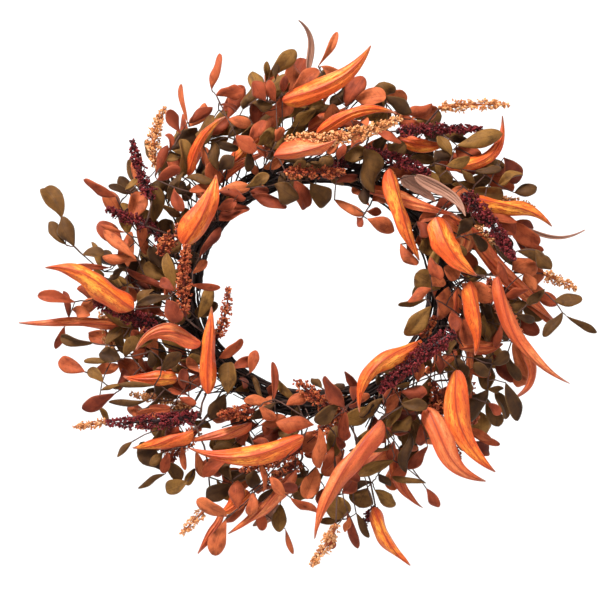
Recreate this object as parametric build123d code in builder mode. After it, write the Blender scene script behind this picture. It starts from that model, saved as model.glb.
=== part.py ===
"""Harvest door wreath: a wired twig ring that carries artificial leaf sprays, long leaves and seed spikes.

Millimetres, +Z up. The origin is the middle of the twig ring on the plane of the door: the door is at
Y = 0 behind the wreath, and the foliage stands out towards -Y. Places on the ring are given as clock
angles, in degrees clockwise from the top as the wreath is seen from the front. The ring is a little
wider than it is high, so a clock angle is the direction that its outside faces there.
"""
from build123d import *
from math import atan2, ceil, cos, degrees, hypot, radians, sin, tan
import os
import random

import numpy as np

# ---- driving dimensions --------------------------------------------------------------------------

RING_HALF_HEIGHT = 118.0  # to the middle of the twig bundle
RING_HALF_WIDTH = 127.0
RING_DEPTH = -22.0  # the middle of the bundle stands this far off the door
BUNDLES = 6  # lengths of twig bundle that make up the ring
SPAN = 360 / BUNDLES  # clock angle that each of them takes up
BUNDLE_RADIUS = 13.0  # outside of the bundle
TWIGS_PER_BUNDLE = 5
TWIG_RADIUS = 4.7
FIRST_TWIG = 90  # the first twig lies at the back of the bundle, where the hanger's screws go in
BUNDLE_GAP = 0.5  # degrees left free between one bundle and the next
HOOP_RADIUS = 3.3  # bent cane in the middle of the bundle
BINDING_RADIUS = 0.7  # wire that ties two bundles together
BINDING_CLEARANCE = 0.4

STALK_RADIUS = 0.8  # wire stalks of small leaves
LONG_STALK_RADIUS = 1.0
SPIKE_STALK_RADIUS = 1.1
BLADE_THICKNESS = 0.8
ROOT_PUSH = 5.0  # how far a stalk is pushed into the bundle
LAYOUT_DROP = 5.0  # heights in the lists below count from the foliage's middle, this far under the ring's

FRONT_LIMIT = -116.0
BACK_LIMIT = -9.4
LAYERS = (-24.0, -44.0, -66.0, -88.0)  # usual depths of the foliage, from the back to the front
SAMPLE = 2.6  # spacing of the points that stand for a piece while it is being placed
CLEAR = 3.4  # least distance between those points, over and above the pieces' own thickness
STALK_CLEAR = 1.5  # least distance between a stalk and the twig bundle
ROOT_STRETCH = 15.0  # this first part of a stalk may be in the bundle or close to it
STALK_OVERLAP = 0.6  # how far a stalk reaches into its leaf
TOUCHING = 3.0  # a leaf whose root is this near to a stalk of its spray needs none of its own
JOINT_CLEAR = 4.0  # degrees left free of stalks at each end of a twig bundle
ROOT_LAGS = (10, 18, 4, 26, -4, 34, 0, 44, -12, 55)  # degrees that a stalk's root may lie behind its leaf
BEST_STARTS = 14  # how many of the nearest starting places a stalk tries
BACKWARD = 0.3  # least cosine, below zero, of the angle at which a branch leaves its stalk
STALK_BENDS = (0.08, -0.06, 0.0, 0.16)  # sag of a stalk as a share of its length, in the order tried
DEPTH_STEPS = (0, 3, -3, 6, -6, 9, -9, 13, -13, 17, -17, 22, -22, 28, -28, 35, -35, 43, 52)
TRIES_PER_DEPTH = 3
# how far each kind may stray from its usual depth, how far its tip may lean, and degrees it may turn
LONG_FREEDOM = (35, 16, 14)
SPIKE_FREEDOM = (35, 14, 0)
SMALL_FREEDOM = (60, 12, 30)
FILLER_FREEDOM = (17, 14, 35)
LONG_CURL = 0.09  # bulge of a long leaf as a share of its length
LONG_CURL_LIMIT = 9.0
SMALL_CURL = (0.04, 0.12)
SMALL_DEPTH = (-98, -74)  # of small leaves near the wreath's middle
SMALL_SETBACK = 34  # how much further back they are at the edge
EDGE = 250  # distance of the wreath's edge from its middle
SPIKE_SHARE = 0.42  # radius of a spike's solid as a share of its width over the seeds
STRAIGHT = 0.3  # an arc that rises less than this is made as a straight line
CUT_SPARE = 2.0  # how far a cutting shape reaches past what it cuts
SEED_VALUE = 11

SIDE_ANGLE = 60.0  # clock angle at which the flatter top arc of the ring meets the tighter side arc
SLOPE = radians(SIDE_ANGLE)
ARC_SHIFT = (RING_HALF_WIDTH - RING_HALF_HEIGHT) / (1 + tan(SLOPE) - 1 / cos(SLOPE))
FLAT_RADIUS = RING_HALF_HEIGHT + ARC_SHIFT  # of the top and bottom arcs, whose middles lie below and above
SIDE_SHIFT = ARC_SHIFT * tan(SLOPE)
SIDE_RADIUS = RING_HALF_WIDTH - SIDE_SHIFT  # of the two side arcs

HINGE_HEIGHT = 122.0  # pivot of the hanging loop
HINGE_DEPTH = -2.6
LOOP_WIRE = 1.0  # radius of its wire
LOOP_WIDTH = 26.0  # between the middles of its legs
LOOP_STRAIGHT = 27.0  # from the pivot to the start of the arch
LOOP_BEND = 3.0  # where the legs turn in
PIN_END = 7.0  # the pins stop this far from the middle
PIVOT_CLEARANCE = 0.1
PLATE_WIDTH = 24.0
PLATE_HEIGHT = 14.0
PLATE_THICKNESS = 1.4
PLATE_CORNER = 2.0
PLATE_FRONT = -6.8
PLATE_BACK = PLATE_FRONT + PLATE_THICKNESS
EAR_THICKNESS = 1.6
EAR_RADIUS = 2.2
EAR_PLACE = 9.0  # from the middle of the plate to the middle of an ear
EAR_ROOT = 0.5  # how far an ear reaches into the plate
SCREW_PLACE = 4.5
SCREW_RADIUS = 1.2
SCREW_HEAD = 2.2
SCREW_HEAD_HEIGHT = 1.2
SCREW_HEAD_ROUND = 0.5
SCREW_HOLE_CLEARANCE = 0.2
SCREW_LENGTH = 8.0

# ---- layout: long leaves -------------------------------------------------------------------------
# root across, root up, tip across, tip up, width, bow to the left of the way root to tip, layer

VARIEGATED = [
    (-180, -17, -268, 24, 23, -9, 3),
    (-107, -101, -104, -14, 18, 1, 3),
    (-131, 46, -99, 116, 25, -4, 3),
    (-128, 116, -90, 174, 11, 7, 2),
    (-86, 128, -40, 162, 16, 3, 1),
    (-34, 190, 54, 245, 20, -12, 2),
    (0, 158, 80, 176, 12, 12, 2),
    (72, 122, 103, 31, 19, -4, 3),
    (130, 121, 188, 177, 11, -17, 2),
    (158, 95, 236, 65, 18, 5, 2),
    (118, 74, 159, 17, 23, -8, 3),
    (152, 11, 157, -63, 19, 4, 3),
    (100, -49, 43, -119, 16, -16, 3),
    (104, -47, 84, -75, 14, 0, 2),
    (138, -77, 177, -178, 22, -14, 3),
    (57, -214, 94, -273, 16, -5, 2),
    (-12, -143, -126, -154, 20, 14, 3),
    (-66, -199, -97, -221, 16, 2, 2),
    (-122, -138, -185, -156, 16, 4, 2),
    (-138, -87, -193, -84, 15, 2, 2),
    (-127, -79, -160, -77, 11, 0, 1),
    (80, 153, 134, 153, 13, -7, 1),
]
PLAIN = [
    (-198, -34, -298, -32, 13, -3, 1),
    (-114, -50, -178, -58, 14, -13, 3),
    (-42, 134, 19, 149, 22, -3, 2),
    (-8, 162, 31, 186, 16, -2, 1),
    (-98, 110, -44, 142, 8, 3, 1),
    (48, 101, 141, 76, 15, 2, 1),
    (128, 79, 137, 32, 16, 13, 2),
    (148, 66, 240, -31, 18, -3, 2),
    (141, 6, 150, -58, 12, -6, 2),
    (154, -58, 155, -94, 9, 0, 1),
    (144, -57, 187, -52, 16, 0, 1),
    (180, 16, 251, -91, 15, -18, 2),
    (208, -48, 198, -107, 8, 14, 1),
    (108, -114, 168, -186, 20, -13, 3),
    (64, -126, -2, -243, 22, -7, 3),
    (72, -157, 14, -196, 17, 2, 1),
    (80, -157, 108, -219, 12, -9, 1),
    (-64, -130, -129, -150, 13, 3, 2),
    (-20, -177, -88, -242, 16, 4, 2),
    (-92, -222, -118, -262, 10, 0, 1),
    (-110, -80, -169, -105, 14, 4, 1),
    (141, -58, 103, -88, 13, 0, 1),
]
TURNED = [
    (84, 113, 119, 90, 14, 2, 2),
    (98, 115, 147, 74, 12, 6, 3),
    (-8, 222, -18, 272, 5, -9, 1),
    (198, 66, 270, 62, 4, -7, 1),
    (-70, 166, -43, 193, 8, 0, 1),
    (46, 203, 66, 182, 7, 0, 1),
    (-38, -214, -64, -236, 15, 2, 0),
]

# ---- layout: seed spikes, the same seven values --------------------------------------------------

BURGUNDY = [
    (-170, 66, -209, 83, 11, 0, 2),
    (-151, 51, -182, 77, 10, 0, 1),
    (-163, 92, -184, 152, 11, 3, 2),
    (-156, -38, -221, -10, 14, -2, 2),
    (24, 158, 53, 167, 12, 0, 1),
    (80, 160, 167, 163, 11, 1, 2),
    (50, 141, 114, 117, 13, 2, 2),
    (16, 122, 44, 143, 11, 0, 1),
    (145, 97, 195, 31, 15, 4, 3),
    (137, -40, 62, -99, 15, -3, 3),
    (-114, -122, -207, -129, 13, 2, 3),
    (60, -216, 45, -238, 8, 0, 1),
]
COPPER = [
    (-130, -24, -127, 47, 12, 2, 3),
    (-157, 38, -130, 69, 13, 0, 2),
    (-99, -46, -87, 6, 9, -3, 2),
    (-32, 119, 29, 118, 11, 0, 3),
    (172, 14, 205, -49, 13, -2, 2),
    (117, -89, 143, -166, 11, -5, 2),
    (153, -91, 158, -133, 12, 2, 1),
    (-14, -157, -76, -178, 9, 3, 2),
    (-16, -170, -53, -197, 12, 0, 1),
    (-62, -118, -97, -123, 12, 0, 2),
    (11, -112, -22, -87, 12, 0, 3),
    (29, -117, -2, -144, 11, 0, 2),
    (-117, -135, -154, -173, 13, 2, 1),
    (103, -44, 120, -25, 10, 0, 2),
]
PEACH = [
    (-158, 122, -150, 185, 11, 8, 2),
    (-30, 150, 84, 172, 13, -8, 3),
    (122, 183, 194, 187, 9, 2, 2),
    (-202, -60, -216, -20, 9, 2, 1),
    (-126, -117, -188, -103, 9, -2, 1),
    (-208, -129, -241, -135, 8, 0, 2),
    (-108, -215, -135, -242, 8, 0, 1),
    (20, -231, -5, -271, 11, 2, 2),
    (150, 100, 219, 86, 9, -1, 1),
    (228, 19, 262, 3, 9, 0, 1),
    (160, 67, 183, 40, 10, 0, 1),
]

# ---- layout: small leaves ------------------------------------------------------------------------
# root across, root up, tip across, tip up, width

OLIVE = [
    # upper left
    (-256, 74, -272, 108, 17), (-241, 45, -256, 75, 16), (-250, 47, -268, 71, 14), (-212, 20, -226, 51, 7),
    (-184, 99, -206, 106, 8), (-190, 102, -178, 112, 6), (-190, 24, -206, 14, 8),
    (-160, 122, -171, 153, 10), (-147, 88, -135, 119, 11), (-148, 142, -119, 163, 15),
    (-133, 114, -132, 151, 16), (-112, 145, -109, 179, 20), (-73, 182, -65, 205, 13),
    (-47, 214, -21, 241, 15), (-50, 211, -49, 230, 6), (-40, 211, -40, 227, 7), (-88, 154, -69, 173, 13),
    (-106, 148, -77, 143, 9), (-98, 121, -104, 149, 12), (-96, 121, -83, 135, 13),
    (-130, 113, -100, 111, 10), (-143, -3, -177, -12, 9), (-139, -1, -150, 38, 11),
    (-222, -51, -256, -45, 11), (-134, 76, -152, 84, 11), (-118, -27, -102, 7, 12), (-188, 6, -190, -12, 7),
    (-152, -8, -172, 0, 8),
    # top
    (50, 202, 80, 200, 17), (68, 195, 96, 179, 13), (112, 155, 103, 138, 10), (70, 134, 89, 148, 13),
    (58, 98, 46, 140, 23), (3, 121, 16, 136, 11), (-42, 107, -17, 92, 18), (-6, 109, 13, 88, 17),
    (-70, 104, -47, 116, 11), (-42, 114, -28, 126, 9), (100, 121, 123, 110, 12), (-45, 143, -30, 152, 9),
    (140, 146, 184, 159, 17), (118, 128, 132, 147, 13), (118, 127, 138, 109, 14), (158, 120, 184, 122, 10),
    (176, 113, 156, 111, 12), (198, 99, 221, 105, 14), (200, 41, 233, 34, 12), (218, 42, 233, 22, 13),
    # right
    (124, 3, 99, 18, 20), (114, -14, 88, -43, 17), (118, -24, 141, -39, 11), (110, -7, 82, -14, 8),
    (104, 14, 97, -9, 6), (148, 12, 172, 18, 15), (228, 3, 211, -13, 10), (246, -20, 227, -43, 11),
    (250, -23, 283, -41, 9), (199, -22, 220, -30, 8), (168, -22, 171, -48, 9), (191, -61, 204, -90, 10),
    (175, -72, 194, -62, 12), (158, -66, 176, -72, 10), (173, -97, 151, -129, 19),
    (189, -90, 203, -129, 14), (171, -97, 188, -98, 7), (172, 60, 188, 50, 9), (108, 60, 112, 36, 16),
    (122, 48, 115, 22, 12),
    # bottom right
    (93, -139, 91, -180, 13), (110, -191, 76, -184, 10), (68, -106, 43, -125, 12), (76, -141, 92, -122, 15),
    (84, -110, 109, -113, 11), (76, -155, 34, -160, 8), (78, -168, 42, -181, 12), (57, -190, 24, -196, 12),
    (52, -196, 42, -216, 18), (58, -197, 80, -213, 13), (10, -203, 29, -226, 20), (28, -228, 3, -231, 7),
    (40, -221, 53, -247, 8), (58, -72, 82, -80, 10), (62, -181, 74, -196, 9), (96, -128, 109, -150, 10),
    # bottom
    (22, -111, -1, -129, 14), (6, -96, -5, -86, 8), (-40, -110, -64, -127, 10), (-88, -101, -87, -70, 16),
    (-90, -101, -105, -127, 15), (-20, -110, -41, -86, 8), (-28, -190, 2, -198, 16),
    (-36, -212, -37, -240, 15), (-62, -177, -66, -198, 14), (-84, -189, -99, -164, 13),
    (-83, -192, -110, -206, 16), (-18, -172, -8, -190, 8),
    # lower left
    (-205, -70, -233, -69, 7), (-195, -67, -216, -60, 13), (-190, -65, -180, -44, 12),
    (-193, -62, -201, -39, 9), (-160, -91, -155, -61, 13), (-165, -58, -163, -77, 9),
    (-160, -93, -196, -92, 7), (-150, -73, -129, -75, 10), (-168, -108, -209, -113, 8),
    (-218, -114, -206, -129, 9), (-155, -179, -177, -151, 17), (-150, -182, -179, -196, 8),
    (-128, -189, -151, -198, 13), (-122, -177, -129, -193, 8), (-183, -149, -198, -162, 7),
    (-52, -108, -66, -82, 7),
]
RUST = [
    # upper left
    (-199, 95, -232, 109, 13), (-186, 69, -177, 102, 16), (-176, 44, -173, 71, 11), (-190, 60, -215, 65, 6),
    (-178, 32, -212, 62, 12), (-176, 31, -212, 34, 11), (-163, -1, -185, 13, 15), (-240, -10, -275, -2, 12),
    (-210, -2, -241, 3, 12), (-214, -5, -234, -19, 12), (-150, -25, -169, -16, 9), (-143, -3, -188, 28, 10),
    (-160, 117, -149, 146, 10), (-158, 111, -134, 121, 14), (-128, 169, -136, 208, 7),
    (-128, 169, -103, 187, 12), (-104, 201, -97, 238, 11), (-100, 196, -72, 200, 15),
    (-50, 189, -63, 209, 13), (-40, 189, -48, 209, 10), (-27, 199, -20, 231, 16), (-25, 201, 3, 223, 14),
    (-98, 101, -66, 105, 14), (-80, 156, -61, 139, 14), (-68, 149, -51, 171, 11), (-40, 149, -33, 164, 10),
    (-33, 199, -31, 213, 8), (-98, 71, -68, 86, 19), (-117, 34, -94, 64, 12), (-64, 96, -29, 86, 15),
    (-128, 46, -118, 27, 10), (-124, 7, -95, 4, 8), (-148, -8, -134, -29, 15), (-132, 62, -146, 30, 13),
    (-98, 100, -70, 93, 11), (-205, 24, -243, 26, 6),
    # top
    (2, 225, 23, 260, 8), (5, 225, 26, 211, 11), (30, 185, 45, 216, 19), (85, 174, 119, 188, 13),
    (-22, 112, -8, 84, 16), (18, 92, 47, 79, 13), (50, 73, 80, 62, 15), (46, 74, 40, 66, 8),
    (22, 131, 27, 146, 9), (188, 135, 204, 109, 17), (190, 70, 224, 47, 17), (133, 99, 151, 98, 14),
    (100, 70, 112, 57, 11), (168, 79, 199, 69, 8), (84, 48, 100, 27, 13), (60, 158, 84, 150, 9),
    # right
    (118, -7, 137, -14, 21), (196, 22, 222, 35, 20), (224, 32, 221, 1, 14), (207, 19, 218, 3, 9),
    (128, 26, 140, 14, 13), (113, 35, 121, 12, 12), (150, -79, 178, -82, 9), (172, -111, 184, -121, 9),
    (178, -62, 183, -35, 9), (184, -32, 180, -56, 8), (156, -106, 146, -92, 9), (208, -12, 240, -31, 8),
    # bottom right
    (150, -139, 184, -153, 8), (155, -151, 176, -160, 14), (148, -136, 175, -147, 8),
    (112, -154, 92, -177, 11), (110, -196, 123, -216, 10), (71, -121, 102, -124, 16),
    (84, -99, 109, -101, 15), (62, -128, 66, -152, 11), (31, -219, 42, -258, 11), (33, -224, 29, -239, 7),
    (10, -243, 17, -257, 9), (26, -200, 40, -186, 12),
    # bottom
    (28, -114, 6, -85, 16), (29, -118, 27, -149, 14), (-2, -132, -38, -127, 18), (43, -96, 28, -81, 8),
    (-46, -108, -70, -107, 10), (-57, -114, -39, -126, 11), (-42, -127, -53, -143, 10),
    (-67, -139, -79, -153, 12), (-66, -81, -60, -58, 10), (-97, -66, -72, -49, 12),
    (-42, -107, -42, -69, 8), (3, -134, 4, -176, 13), (17, -153, 8, -180, 10), (20, -144, 27, -157, 8),
    (-26, -204, 1, -221, 10), (-55, -169, -50, -197, 8), (-62, -199, -66, -222, 13),
    (-88, -168, -113, -181, 13), (-90, -226, -102, -262, 17), (-88, -223, -118, -206, 15),
    (-31, -237, -23, -263, 6), (-70, -214, -91, -233, 9),
    # lower left
    (-231, -80, -260, -69, 15), (-226, -82, -199, -72, 12), (-196, -99, -195, -76, 11),
    (-200, -101, -234, -118, 14), (-185, -65, -171, -58, 9), (-145, -117, -177, -122, 9),
    (-178, -127, -191, -114, 8), (-148, -159, -153, -181, 9), (-120, -159, -113, -186, 11),
    (-134, -154, -130, -176, 7), (-252, -34, -262, -58, 8), (-115, -80, -130, -66, 9),
]
FILLERS_PER_COLOUR = 170  # small leaves without a set place, deep in the foliage near the ring
FILLER_START = (10, 86)  # distance of their roots from the middle of the bundle
FILLER_LENGTH = (27, 37)
FILLER_WIDTH = (13, 18)
FILLER_LEAN = (15, 95)  # degrees that they lean clockwise from straight outwards
FILLER_DEPTH = (-50, -14)


# ---- placing -------------------------------------------------------------------------------------


def outward(angle):
    """The direction that the outside of the ring faces at a clock angle."""
    return Vector(sin(radians(angle)), 0, cos(radians(angle)))


def arc_middle(angle):
    """The middle and the radius of the arc of the ring that a clock angle lies on."""
    from_top = abs((angle + 180) % 360 - 180)
    if from_top < SIDE_ANGLE:
        return Vector(0, 0, -ARC_SHIFT), FLAT_RADIUS
    if from_top > 180 - SIDE_ANGLE:
        return Vector(0, 0, ARC_SHIFT), FLAT_RADIUS
    side = 1 if angle % 360 < 180 else -1
    return Vector(side * SIDE_SHIFT, 0, 0), SIDE_RADIUS


def clock(angle, out=0.0, depth=RING_DEPTH):
    """The point at a clock angle, this far outside the middle of the twig bundle."""
    middle, radius = arc_middle(angle)
    return middle + outward(angle) * (radius + out) + Vector(0, depth, 0)


def clock_angle(point):
    """The clock angle at which a point stands, from 0 to 360 degrees."""
    return degrees(atan2(point.X, point.Z)) % 360


def from_ring_middle(points):
    """How far each point is from the middle of the twig bundle."""
    across, up = abs(points[:, 0]), abs(points[:, 2])
    beside = across * cos(SLOPE) > (up + ARC_SHIFT) * sin(SLOPE)
    flat_arc = np.hypot(across, up + ARC_SHIFT) - FLAT_RADIUS
    side_arc = np.hypot(across - SIDE_SHIFT, up) - SIDE_RADIUS
    return np.hypot(np.where(beside, side_arc, flat_arc), points[:, 1] - RING_DEPTH)


def facing(root, tip, roll):
    """The direction of a leaf's upper side: to the front, turned about the leaf's length by roll degrees."""
    along = (tip - root).normalized()
    front = Vector(0, -1, 0)
    square = (front - along * front.dot(along)).normalized()
    return square.rotate(Axis((0, 0, 0), along), roll)


def row(vector):
    return np.array([vector.X, vector.Y, vector.Z])


def margin(length, height):
    """One side of a leaf's outline: an arc, or a straight line where the leaf's bow takes up its curve."""
    if abs(height) < STRAIGHT:
        Line((0, 0), (length, 0))
    else:
        ThreePointArc((0, 0), (length / 2, height), (length, 0))


class Blade:
    """A leaf: a thin sheet bent along its length, from root to tip."""

    def __init__(self, root, tip, width, bow=0.0, curl=0.0, roll=0.0):
        self.root, self.tip, self.width, self.bow, self.curl = root, tip, width, bow, curl
        self.upper = facing(root, tip, roll)
        self.reach = BLADE_THICKNESS / 2

    def cloud(self):
        """Points spread over the middle of the sheet."""
        length = (self.tip - self.root).length
        side = self.upper.cross((self.tip - self.root).normalized())
        rows = ceil(length / SAMPLE) + 1
        lanes = ceil(self.width / SAMPLE) + 1
        part_way = np.linspace(0, 1, rows)[:, None]
        hump = 4 * part_way * (1 - part_way)
        across = self.bow * hump + self.width / 2 * hump * np.linspace(-1, 1, lanes)[None, :]
        middle = row(self.root) + part_way * row(self.tip - self.root) + self.curl * hump * row(self.upper)
        points = middle[:, None, :] + across[:, :, None] * row(side)
        return points.reshape(-1, 3)

    def solid(self):
        length = (self.tip - self.root).length
        along = self.tip - self.root
        flat = Plane(origin=self.root, x_dir=along, z_dir=self.upper)
        edge = Plane(origin=self.root, x_dir=along, z_dir=along.cross(self.upper))
        middle = length / 2
        thin = BLADE_THICKNESS / 2
        with BuildPart() as leaf:
            with BuildSketch(flat):
                with BuildLine():
                    margin(length, self.bow + self.width / 2)
                    margin(length, self.bow - self.width / 2)
                make_face()
            extrude(amount=abs(self.curl) + CUT_SPARE if self.curl else thin, both=True)
            if not self.curl:
                return leaf.part
            with BuildSketch(edge):
                with BuildLine():
                    ThreePointArc((-1, -thin), (middle, self.curl - thin), (length + 1, -thin))
                    Line((length + 1, -thin), (length + 1, thin))
                    ThreePointArc((length + 1, thin), (middle, self.curl + thin), (-1, thin))
                    Line((-1, thin), (-1, -thin))
                make_face()
            extrude(amount=self.width + abs(self.bow), both=True, mode=Mode.INTERSECT)
        return leaf.part


class Rod:
    """A stalk or a seed spike: a round rod on a gentle arc."""

    def __init__(self, start, end, radius, sag=0.0, towards=(0, -1, 0)):
        self.start, self.end, self.reach = start, end, radius
        along = (end - start).normalized()
        out = Vector(*towards)
        square = out - along * out.dot(along)
        self.bent = abs(sag) > STRAIGHT and square.length > 0
        self.middle = (start + end) * 0.5
        if self.bent:
            self.middle += square.normalized() * sag

    def cloud(self):
        """Points along the middle line."""
        length = (self.end - self.start).length
        part_way = np.linspace(0, 1, ceil(length / SAMPLE) + 1)[:, None]
        hump = 4 * part_way * (1 - part_way)
        bend = row(self.middle - (self.start + self.end) * 0.5)
        return row(self.start) + part_way * row(self.end - self.start) + hump * bend

    def solid(self):
        with BuildPart() as rod:
            if self.bent:
                with BuildLine() as path:
                    ThreePointArc(self.start, self.middle, self.end)
                with BuildSketch(Plane(origin=path.line @ 0, z_dir=path.line % 0)):
                    Circle(self.reach)
                sweep()
            else:
                with BuildSketch(Plane(origin=self.start, z_dir=self.end - self.start)):
                    Circle(self.reach)
                extrude(amount=(self.end - self.start).length)
        return rod.part


class Foliage:
    """All pieces placed so far, and the search for free room among them."""

    def __init__(self):
        self.nodes = {}
        self.roots = {}
        self.placed = []
        self.dropped = 0

    def is_free(self, piece, node, stalk=False):
        """Whether a piece is clear of the ring and of the pieces of other nodes (a leaf: of all leaves)."""
        points = piece.cloud()
        if points[:, 1].max() > BACK_LIMIT or points[:, 1].min() < FRONT_LIMIT:
            return False
        from_ring = from_ring_middle(points)
        if stalk:
            from_ring = from_ring[ceil(ROOT_STRETCH / SAMPLE):] if stalk == "rooted" else from_ring
            if len(from_ring) and from_ring.min() < BUNDLE_RADIUS + piece.reach + STALK_CLEAR:
                return False
        elif from_ring.min() < BUNDLE_RADIUS + piece.reach + CLEAR:
            return False
        low, high = points.min(axis=0), points.max(axis=0)
        for owner, other, is_stalk, cloud, other_low, other_high in self.placed:
            if owner == node and (stalk or is_stalk):
                continue
            room = CLEAR + piece.reach + other.reach
            if (low - room > other_high).any() or (high + room < other_low).any():
                continue
            near = cloud[((cloud > low - room) & (cloud < high + room)).all(axis=1)]
            if len(near) == 0:
                continue
            apart = points[:, None, :] - near[None, :, :]
            if (apart * apart).sum(axis=2).min() < room * room:
                return False
        return True

    def keep(self, piece, node, stalk=False):
        cloud = piece.cloud()
        self.placed.append((node, piece, bool(stalk), cloud, cloud.min(axis=0), cloud.max(axis=0)))
        self.nodes.setdefault(node, []).append(piece)

    def ring_roots(self, point):
        """Places in the ring that a stalk to this point can be pushed into, and the bundle's number."""
        here = clock_angle(point)
        for lag in ROOT_LAGS:
            angle = (here - lag) % 360
            if min(angle % SPAN, SPAN - angle % SPAN) < JOINT_CLEAR:
                continue
            middle = clock(angle)
            onward = outward(angle + 90)
            towards = point - middle
            square = (towards - onward * towards.dot(onward)).normalized()
            yield middle + square * (BUNDLE_RADIUS - ROOT_PUSH), int(angle // SPAN) + 1

    def starts(self, point, node):
        """Where a stalk to this point may start, nearest first: on the node's own stalks or in the ring."""
        places = [((start - point).length, start, bundle) for start, bundle in self.ring_roots(point)]
        for owner, other, is_stalk, cloud, _, _ in self.placed:
            if owner == node and is_stalk:
                for spot in cloud[2:]:
                    start = Vector(*spot)
                    onward = point - start
                    limb = other.end - other.start
                    if onward.dot(limb) > -BACKWARD * onward.length * limb.length:
                        places.append((onward.length, start, 0))
        return sorted(places, key=lambda place: place[0])[:BEST_STARTS]

    def stalk_to(self, point, along, node, radius):
        """A clear stalk that reaches this point, or None."""
        for length, start, bundle in self.starts(point, node):
            if length < TOUCHING and bundle == 0:
                return ()
            sag_side = row(along)
            for sag in STALK_BENDS:
                stalk = Rod(start, point, radius, sag * length, towards=(-sag_side[0], -1, -sag_side[2]))
                if self.is_free(stalk, node, "rooted" if bundle else "branch"):
                    if bundle:
                        self.roots.setdefault(node, set()).add(bundle)
                    return (stalk,)
        return None

    def place(self, node, shape, depths, radius):
        """Place one piece at the first depth at which it and its stalk are clear."""
        for depth, lean, turn in depths:
            piece = shape(depth, lean, turn)
            if not self.is_free(piece, node):
                continue
            root = piece.start if isinstance(piece, Rod) else piece.root
            tip = piece.end if isinstance(piece, Rod) else piece.tip
            along = (tip - root).normalized()
            stalks = self.stalk_to(root + along * STALK_OVERLAP, along, node, radius)
            if stalks is None:
                continue
            for stalk in stalks:
                self.keep(stalk, node, stalk=True)
            self.keep(piece, node)
            return True
        self.dropped += 1
        return False


def sector(x, z, count):
    """The number, from 1, of the sector of the wreath that a place is in."""
    return int(degrees(atan2(x, z)) % 360 // (360 / count)) + 1


def tries(first, spread, tilt, turn, rng):
    """Depths to try, from the wanted one on, each with a lean of the tip and a turn about the length."""
    for step in DEPTH_STEPS:
        if abs(step) <= spread:
            for _ in range(TRIES_PER_DEPTH):
                yield first + step, rng.uniform(-tilt, tilt), rng.uniform(-turn, turn)


def add_long(foliage, kind, rows, sectors, rng, upside=1):
    for x0, z0, x1, z1, width, bow, layer in rows:
        node = f"{kind}_{sector(x0, z0, sectors)}" if sectors > 1 else kind
        length = hypot(x1 - x0, z1 - z0)
        curl = upside * min(LONG_CURL_LIMIT, LONG_CURL * length)

        def shape(depth, lean, turn):
            root = Vector(x0, depth, z0 - LAYOUT_DROP)
            tip = Vector(x1, depth + lean, z1 - LAYOUT_DROP)
            return Blade(root, tip, width, bow, curl, turn)

        foliage.place(node, shape, tries(LAYERS[layer], *LONG_FREEDOM, rng), LONG_STALK_RADIUS)


def add_spikes(foliage, kind, rows, sectors, rng):
    for x0, z0, x1, z1, width, bow, layer in rows:
        node = f"{kind}_{sector(x0, z0, sectors)}"
        sideways = (z0 - z1, 0, x1 - x0)  # to the left of the way root to tip

        def shape(depth, lean, turn):
            root = Vector(x0, depth, z0 - LAYOUT_DROP)
            tip = Vector(x1, depth + lean, z1 - LAYOUT_DROP)
            return Rod(root, tip, width * SPIKE_SHARE, bow, towards=sideways)

        foliage.place(node, shape, tries(LAYERS[layer], *SPIKE_FREEDOM, rng), SPIKE_STALK_RADIUS)


def add_small(foliage, kind, rows, sectors, rng):
    for x0, z0, x1, z1, width in sorted(rows, key=lambda leaf: hypot(leaf[0], leaf[1])):
        node = f"{kind}_{sector(x0, z0, sectors)}"
        curl = rng.uniform(*SMALL_CURL) * hypot(x1 - x0, z1 - z0)

        def shape(depth, lean, turn):
            root = Vector(x0, depth, z0 - LAYOUT_DROP)
            tip = Vector(x1, depth + lean, z1 - LAYOUT_DROP)
            return Blade(root, tip, width, 0, curl, turn)

        first = rng.uniform(*SMALL_DEPTH) + SMALL_SETBACK * hypot(x0, z0) / EDGE
        foliage.place(node, shape, tries(first, *SMALL_FREEDOM, rng), STALK_RADIUS)


def add_fillers(foliage, kind, count, sectors, rng):
    """Small flat leaves deep in the foliage, that lean clockwise and outwards like the others."""
    for _ in range(count):
        angle = rng.uniform(0, 360)
        root = clock(angle, rng.uniform(*FILLER_START))
        tip = root + outward(angle + rng.uniform(*FILLER_LEAN)) * rng.uniform(*FILLER_LENGTH)
        width = rng.uniform(*FILLER_WIDTH)
        node = f"{kind}_{sector(root.X, root.Z + LAYOUT_DROP, sectors)}"

        def shape(depth, lean, turn):
            low = Vector(root.X, depth, root.Z)
            high = Vector(tip.X, depth + lean, tip.Z)
            return Blade(low, high, width, roll=turn)

        foliage.place(node, shape, tries(rng.uniform(*FILLER_DEPTH), *FILLER_FREEDOM, rng), STALK_RADIUS)


# ---- ring and hanger -----------------------------------------------------------------------------


def ring_rod(number, gap, turn, offset, radius):
    """A bent rod along one sixth of the ring, beside the bundle's middle and short of its ends by a gap."""
    start = (number - 1) * SPAN + gap
    middle, _ = arc_middle(start + SPAN / 2)
    out = outward(start)
    place = clock(start) + out * (offset * cos(turn)) + Vector(0, offset * sin(turn), 0)
    with BuildPart() as rod:
        with BuildSketch(Plane(origin=place, x_dir=out, z_dir=outward(start + 90))):
            Circle(radius)
        revolve(axis=Axis(middle, (0, 1, 0)), revolution_arc=SPAN - 2 * gap)
    return rod.part


def twig_bundle(number):
    offset = BUNDLE_RADIUS - TWIG_RADIUS
    turns = [radians(FIRST_TWIG + 360 / TWIGS_PER_BUNDLE * k) for k in range(TWIGS_PER_BUNDLE)]
    return [ring_rod(number, BUNDLE_GAP, turn, offset, TWIG_RADIUS) for turn in turns]


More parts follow.
